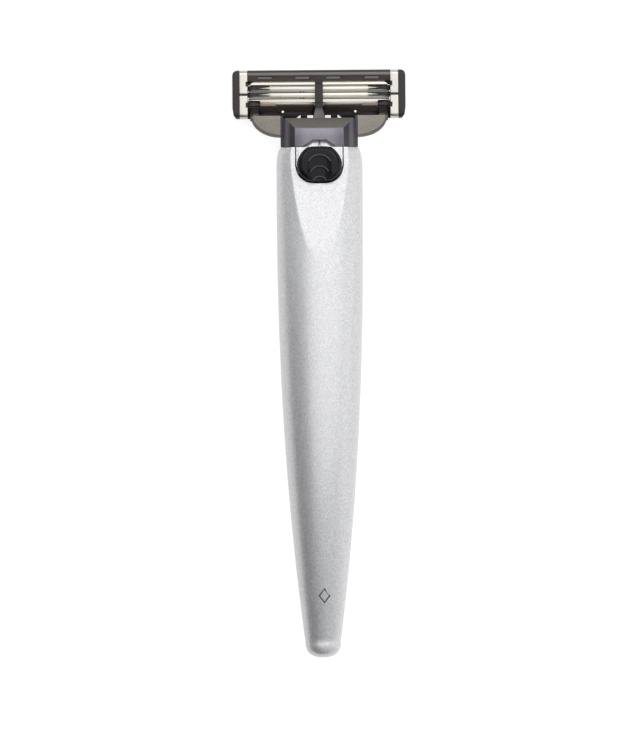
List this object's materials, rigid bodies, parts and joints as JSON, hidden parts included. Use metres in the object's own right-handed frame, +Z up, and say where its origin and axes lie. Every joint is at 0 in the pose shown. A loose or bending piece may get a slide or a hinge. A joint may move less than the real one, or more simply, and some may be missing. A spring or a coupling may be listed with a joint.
{
  "type": "cartridge razor",
  "caption": "Pivoting multi-blade cartridge razor lying face down: arched silver handle, dished release button, slide-off hub, sprung cartridge, plunger and blades.",
  "frame": {"origin": "on the table under the middle of the razor's box, the razor lying face down", "axes": "+X across the cartridge, +Y along the handle towards the cartridge, +Z up, out of the back with the release button"},
  "size_m": [0.042, 0.1427, 0.0208],
  "materials": {
    "handle_lacquer": "satin",
    "weight_steel": "satin",
    "connector_metal": "satin",
    "screw_steel": "satin",
    "button_black": "gloss",
    "fork_plastic": "satin",
    "spring_steel": "polished",
    "hub_plastic": "satin",
    "plunger_plastic": "satin",
    "housing_plastic": "satin",
    "clip_aluminium": "satin",
    "guard_rubber": "matte",
    "carrier_plastic": "satin",
    "strip_gel": "satin",
    "support_steel": "satin",
    "blade_steel": "polished"
  },
  "bodies": {
    "handle": {"handle_back_shell": "handle_lacquer", "handle_front_shell": "handle_lacquer", "balance_weight": "weight_steel", "connector_body": "connector_metal", "connector_screws": "screw_steel"},
    "button": {"release_button": "button_black", "ejector_fork": "fork_plastic", "button_spring": "spring_steel"},
    "hub": {"cartridge_hub": "hub_plastic", "plunger_spring": "spring_steel"},
    "plunger": {"plunger": "plunger_plastic"},
    "cartridge": {"cartridge_housing": "housing_plastic", "clip_left": "clip_aluminium", "clip_right": "clip_aluminium", "guard_strip": "guard_rubber", "strip_carrier": "carrier_plastic", "lubricating_strip": "strip_gel"},
    "blade_unit_1": {"blade_support_1": "support_steel", "blade_1": "blade_steel"},
    "blade_unit_2": {"blade_support_2": "support_steel", "blade_2": "blade_steel"},
    "blade_unit_3": {"blade_support_3": "support_steel", "blade_3": "blade_steel"}
  },
  "joints": [
    {"name": "button_slide", "type": "slide", "parent": "handle", "child": "button", "axis": [0, 0.9659, -0.2588], "range_m": [0, 0.003], "stiffness_N_per_m": 400, "springref_m": -0.002, "deforming": ["button_spring"]},
    {"name": "cartridge_release", "type": "slide", "parent": "handle", "child": "hub", "axis": [0, 0.9659, -0.2588], "range_m": [0, 0.014]},
    {"name": "cartridge_pivot", "type": "hinge", "parent": "hub", "child": "cartridge", "pos_m": [0, 0.0625, 0.0005], "axis": [1, 0, 0], "range_deg": [0, 44], "stiffness_Nm_per_rad": 0.006, "springref_deg": -34.38},
    {"name": "plunger_slide", "type": "slide", "parent": "hub", "child": "plunger", "axis": [0, -0.9659, 0.2588], "range_m": [0, 0.0033], "deforming": ["plunger_spring"]},
    {"name": "blade_1_float", "type": "slide", "parent": "cartridge", "child": "blade_unit_1", "axis": [0, 0, 1], "range_m": [0, 0.0003], "stiffness_N_per_m": 600, "springref_m": -0.0003},
    {"name": "blade_2_float", "type": "slide", "parent": "cartridge", "child": "blade_unit_2", "axis": [0, 0, 1], "range_m": [0, 0.0003], "stiffness_N_per_m": 600, "springref_m": -0.0003},
    {"name": "blade_3_float", "type": "slide", "parent": "cartridge", "child": "blade_unit_3", "axis": [0, 0, 1], "range_m": [0, 0.0003], "stiffness_N_per_m": 600, "springref_m": -0.0003}
  ],
  "couplings": [
    {"joint": "plunger_slide", "follows": "cartridge_pivot", "m_per_rad": 0.00414}
  ]
}
